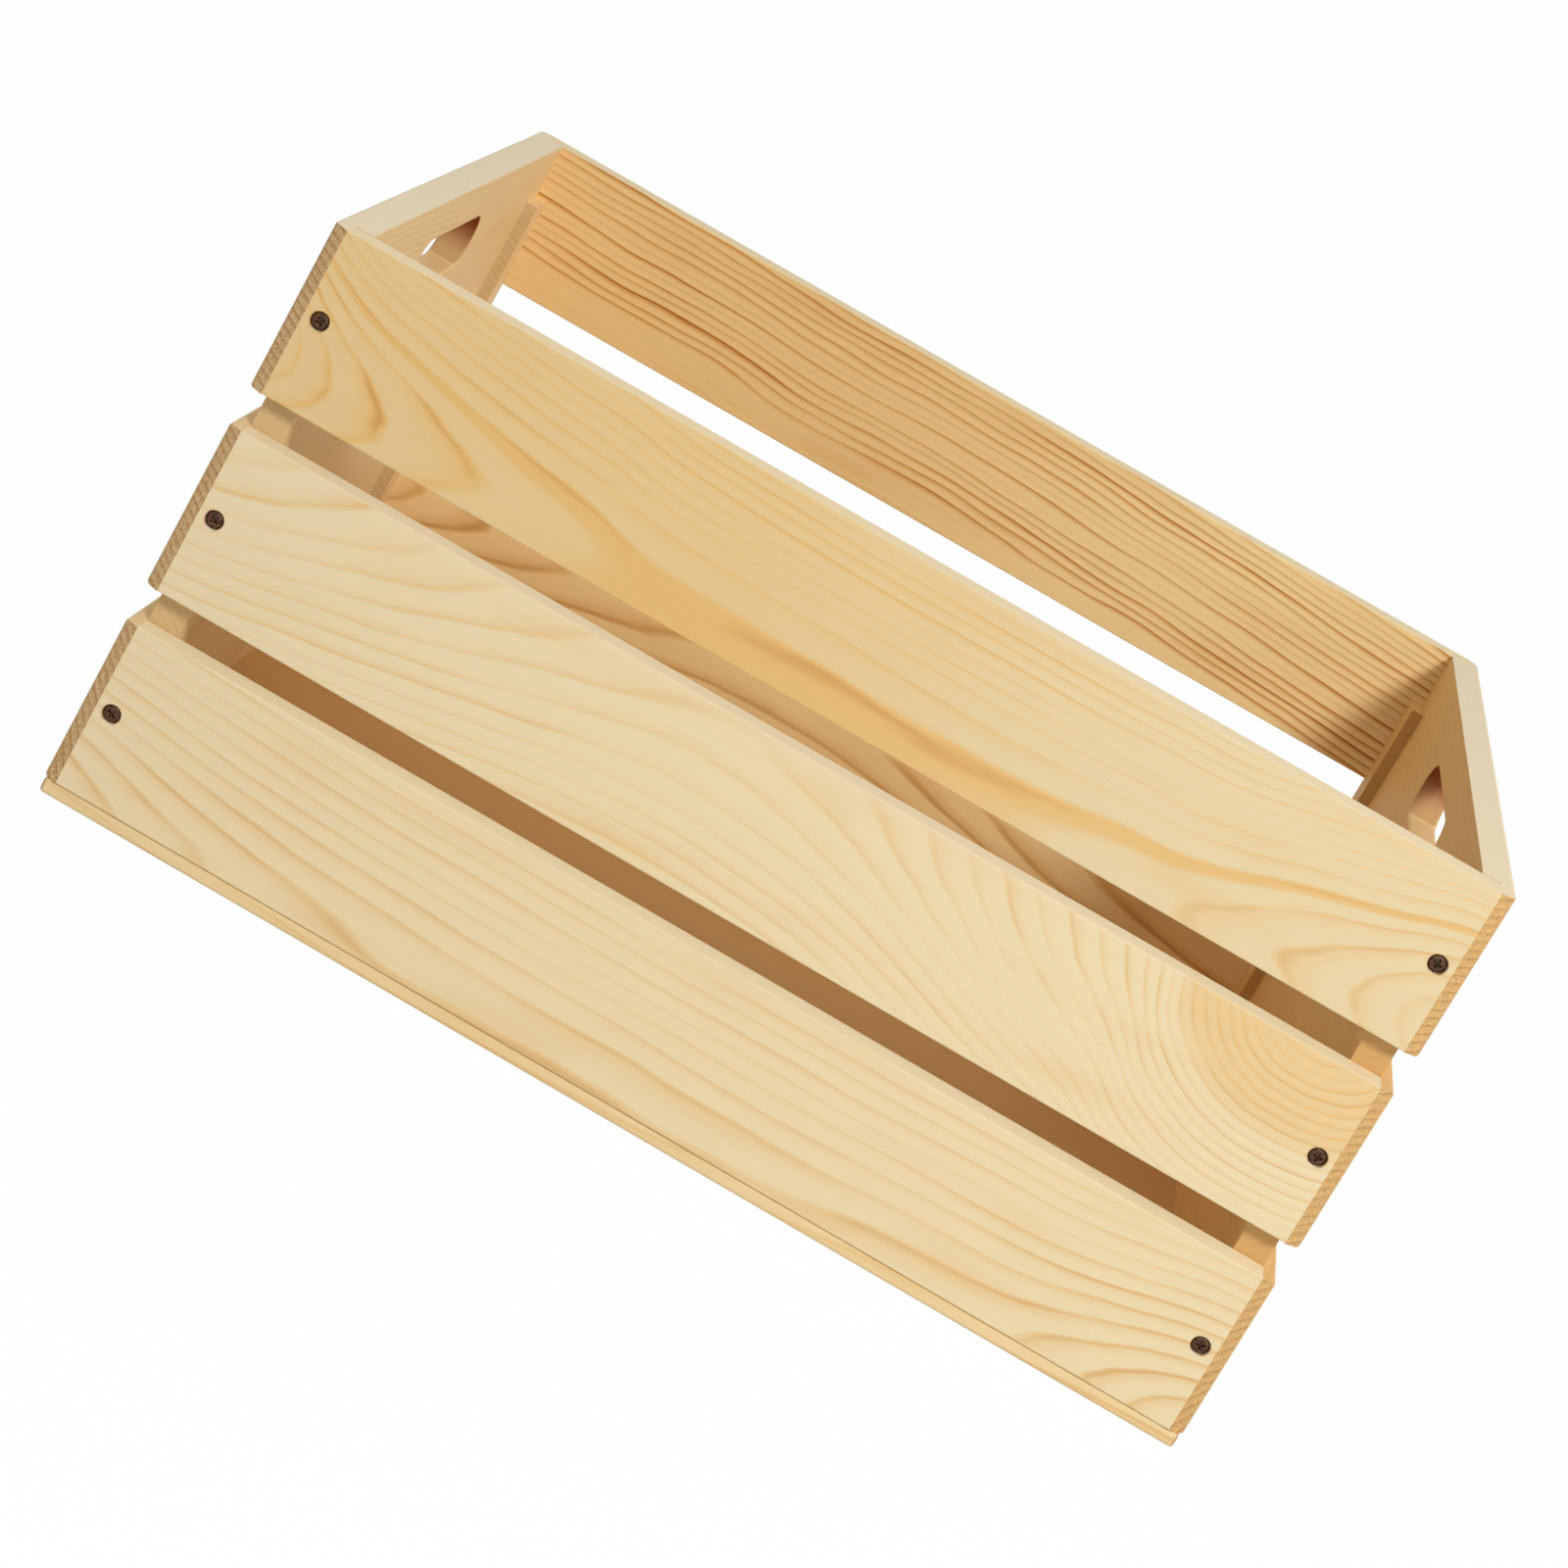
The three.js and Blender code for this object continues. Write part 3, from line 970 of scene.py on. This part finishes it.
def place_screw(node, model, turn):
    """Copy a model screw, with its own mesh, to the place of a packed screw."""
    low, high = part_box(node)
    seat = screw_centre(node)
    if node.startswith("floor_screw"):
        inward = UP
        seat.z = low.z + HEAD_HEIGHT
    elif seat.y < 0:
        inward = SIDES["front"]
        seat.y = low.y + HEAD_HEIGHT
    else:
        inward = SIDES["back"]
        seat.y = high.y - HEAD_HEIGHT
    screw = model.copy()
    screw.data = model.data.copy()
    screw.name = f"{node}_steel"
    bpy.context.collection.objects.link(screw)
    aim = inward.to_track_quat("-Z", "Y").to_matrix()
    spin = Matrix.Rotation(turn, 3, "Z")
    screw.matrix_world = Matrix.Translation(seat) @ (aim @ spin).to_4x4()
    make_active(screw)
    bpy.ops.object.transform_apply(location=True, rotation=True, scale=True)
    return screw


print("screw head in mm:", round(2 * HEAD_RADIUS / MM, 1))

# %% Put a screw in every hole
SCREW_LENGTHS = {"slat_screw": 25 * MM, "floor_screw": 22 * MM}
SCREW_TURN = math.radians(37)

steel = screw_steel()
models = {kind: model_screw(f"{kind}_model", length) for kind, length in SCREW_LENGTHS.items()}
screws = {}
for node in sorted(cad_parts):
    kind = "_".join(node.split("_")[:2])
    if kind in models:
        screw = place_screw(node, models[kind], SCREW_TURN * len(screws))
        screw.data.materials.append(steel)
        screws[node] = screw
for model in models.values():
    bpy.data.objects.remove(model)
print("screws:", len(screws))

# %% [markdown]
# Hand the pieces to the crate
#
# Every new piece stands for one imported piece, which is hidden, and rides on the crate's one body.

# %% Join the pieces to the frame
for node, piece in {**boards, **screws}.items():
    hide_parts(node)
    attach(piece, "root")
print("pieces joined:", len(boards) + len(screws))

# %% [markdown]
# The stage
#
# The crate stands on a plain white floor under a plain white sky. What the camera sees of both is white,
# while the floor still takes the crate's shadow, faintly. As a source of light the sky is brighter
# overhead, so that the upper edges of the boards come out as bright as their faces.

# %% Floor and sky
FLOOR_SPAN = 80.0
FLOOR_COLOUR = (0.8, 0.8, 0.8, 1.0)
FLOOR_ROUGHNESS = 0.9
FLOOR_WHITE_SHARE = 0.98
SKY_COLOUR = (1.0, 0.985, 0.96, 1.0)
SKY_LOW = 0.42
SKY_HIGH = 0.55
WHITE = (1.0, 1.0, 1.0, 1.0)

bpy.ops.object.select_all(action="DESELECT")
bpy.ops.mesh.primitive_plane_add(size=FLOOR_SPAN, location=(0, 0, packed_low.z))
ground = bpy.context.object
ground.name = "studio_floor"


def seen_directly(wiring):
    """1 for what the camera sees, straight or in a mirror or glass, and 0 for light on its way."""
    path = wiring.node("ShaderNodeLightPath")
    seen = path.outputs["Is Camera Ray"]
    for kind in ("Is Glossy Ray", "Is Transmission Ray"):
        seen = wiring.math("MAXIMUM", seen, path.outputs[kind])
    return seen


def show(wiring, output, share, first, second):
    """Send the first shader to the output, and by a share the second one instead."""
    both = wiring.node("ShaderNodeMixShader")
    for socket, value in zip(both.inputs, (share, first, second)):
        wiring.feed(socket, value)
    wiring.feed(wiring.tree.nodes[output].inputs["Surface"], both.outputs["Shader"])


def white_floor():
    material = bpy.data.materials.new("white floor")
    wiring = Wiring(material)
    shader = wiring.tree.nodes["Principled BSDF"]
    shader.inputs["Base Color"].default_value = FLOOR_COLOUR
    shader.inputs["Roughness"].default_value = FLOOR_ROUGHNESS
    shader.inputs["Specular IOR Level"].default_value = 0.0
    white = wiring.node("ShaderNodeEmission")
    share = wiring.math("MULTIPLY", seen_directly(wiring), FLOOR_WHITE_SHARE)
    show(wiring, "Material Output", share, shader.outputs["BSDF"], white.outputs["Emission"])
    return material


def white_sky():
    sky = bpy.data.worlds.new("white sky")
    wiring = Wiring(sky)
    lighting = wiring.tree.nodes["Background"]
    lighting.inputs["Color"].default_value = SKY_COLOUR
    direction = wiring.node("ShaderNodeTexCoord")
    height = wiring.node("ShaderNodeSeparateXYZ")
    wiring.feed(height.inputs[0], direction.outputs["Generated"])
    fall = wiring.node("ShaderNodeMapRange")
    wiring.feed(fall.inputs["Value"], height.outputs["Z"])
    fall.inputs["To Min"].default_value = SKY_LOW
    fall.inputs["To Max"].default_value = SKY_HIGH
    wiring.feed(lighting.inputs["Strength"], fall.outputs["Result"])
    white = wiring.node("ShaderNodeBackground")
    white.inputs["Color"].default_value = WHITE
    show(wiring, "World Output", seen_directly(wiring), lighting.outputs[0], white.outputs[0])
    return sky


ground.data.materials.append(white_floor())
bpy.context.scene.world = white_sky()
print("sky light from", SKY_LOW, "at the side to", SKY_HIGH, "overhead")

# %% [markdown]
# The lamps
#
# The main lamp stands beside the camera, to the right and higher. It lights the front, shines over the
# front rim onto the inside of the back slats, and leaves the inside of the right end in shade. A fainter
# lamp far to the right shines over the right rim onto the inside of the left end.

# %% Lamps
LAMP_AIM = Vector((0, 0, 0.12))
LAMPS = {
    "main lamp": dict(place=Vector((0.7, -1.6, 1.1)), size=0.3, energy=19.0),
    "side lamp": dict(place=Vector((1.6, -0.35, 0.62)), size=0.6, energy=3.0),
}

for name, lamp in LAMPS.items():
    light = bpy.data.lights.new(name, "AREA")
    light.shape = "SQUARE"
    light.size = lamp["size"]
    light.energy = lamp["energy"]
    stand = bpy.data.objects.new(name, light)
    stand.location = lamp["place"]
    stand.rotation_euler = (LAMP_AIM - lamp["place"]).to_track_quat("-Z", "Y").to_euler()
    bpy.context.collection.objects.link(stand)
    print(name, "at", [round(part, 2) for part in lamp["place"]])

# %% [markdown]
# The camera
#
# The camera stands 1.4 m in front and half a metre up, and is rolled by about 30 degrees, so that the
# crate lies slantwise in the picture. Its place, lens and framing come from matching the crate's edges.

# %% Camera
PICTURE = 1600
CAMERA_PLACE = Vector((-10.65, -1420.5, 520.7)) * MM
CAMERA_TURN = math.radians(1.862)
CAMERA_DOWN = math.radians(11.264)
CAMERA_ROLL = math.radians(29.433)
CAMERA_FOCUS = 3863.3
CAMERA_CENTRE = (867.1, 387.7)
SENSOR = 36.0

level_right = Vector((math.cos(CAMERA_TURN), math.sin(CAMERA_TURN), 0))
level_ahead = Vector((-math.sin(CAMERA_TURN), math.cos(CAMERA_TURN), 0))
level_up = level_ahead * math.sin(CAMERA_DOWN) + UP * math.cos(CAMERA_DOWN)
forward = level_ahead * math.cos(CAMERA_DOWN) - UP * math.sin(CAMERA_DOWN)
right = level_right * math.cos(CAMERA_ROLL) + level_up * math.sin(CAMERA_ROLL)
above = level_up * math.cos(CAMERA_ROLL) - level_right * math.sin(CAMERA_ROLL)

lens = bpy.data.cameras.new("camera")
lens.sensor_fit = "HORIZONTAL"
lens.sensor_width = SENSOR
lens.lens = CAMERA_FOCUS / PICTURE * SENSOR
lens.shift_x = 0.5 - CAMERA_CENTRE[0] / PICTURE
lens.shift_y = CAMERA_CENTRE[1] / PICTURE - 0.5
camera = bpy.data.objects.new("camera", lens)
axes = Matrix((right, above, -forward)).transposed().to_4x4()
camera.matrix_world = Matrix.Translation(CAMERA_PLACE) @ axes
bpy.context.collection.objects.link(camera)
bpy.context.scene.camera = camera
bpy.context.scene.view_settings.view_transform = "Standard"
print("lens in mm:", round(lens.lens, 1), "shift:", round(lens.shift_x, 3), round(lens.shift_y, 3))
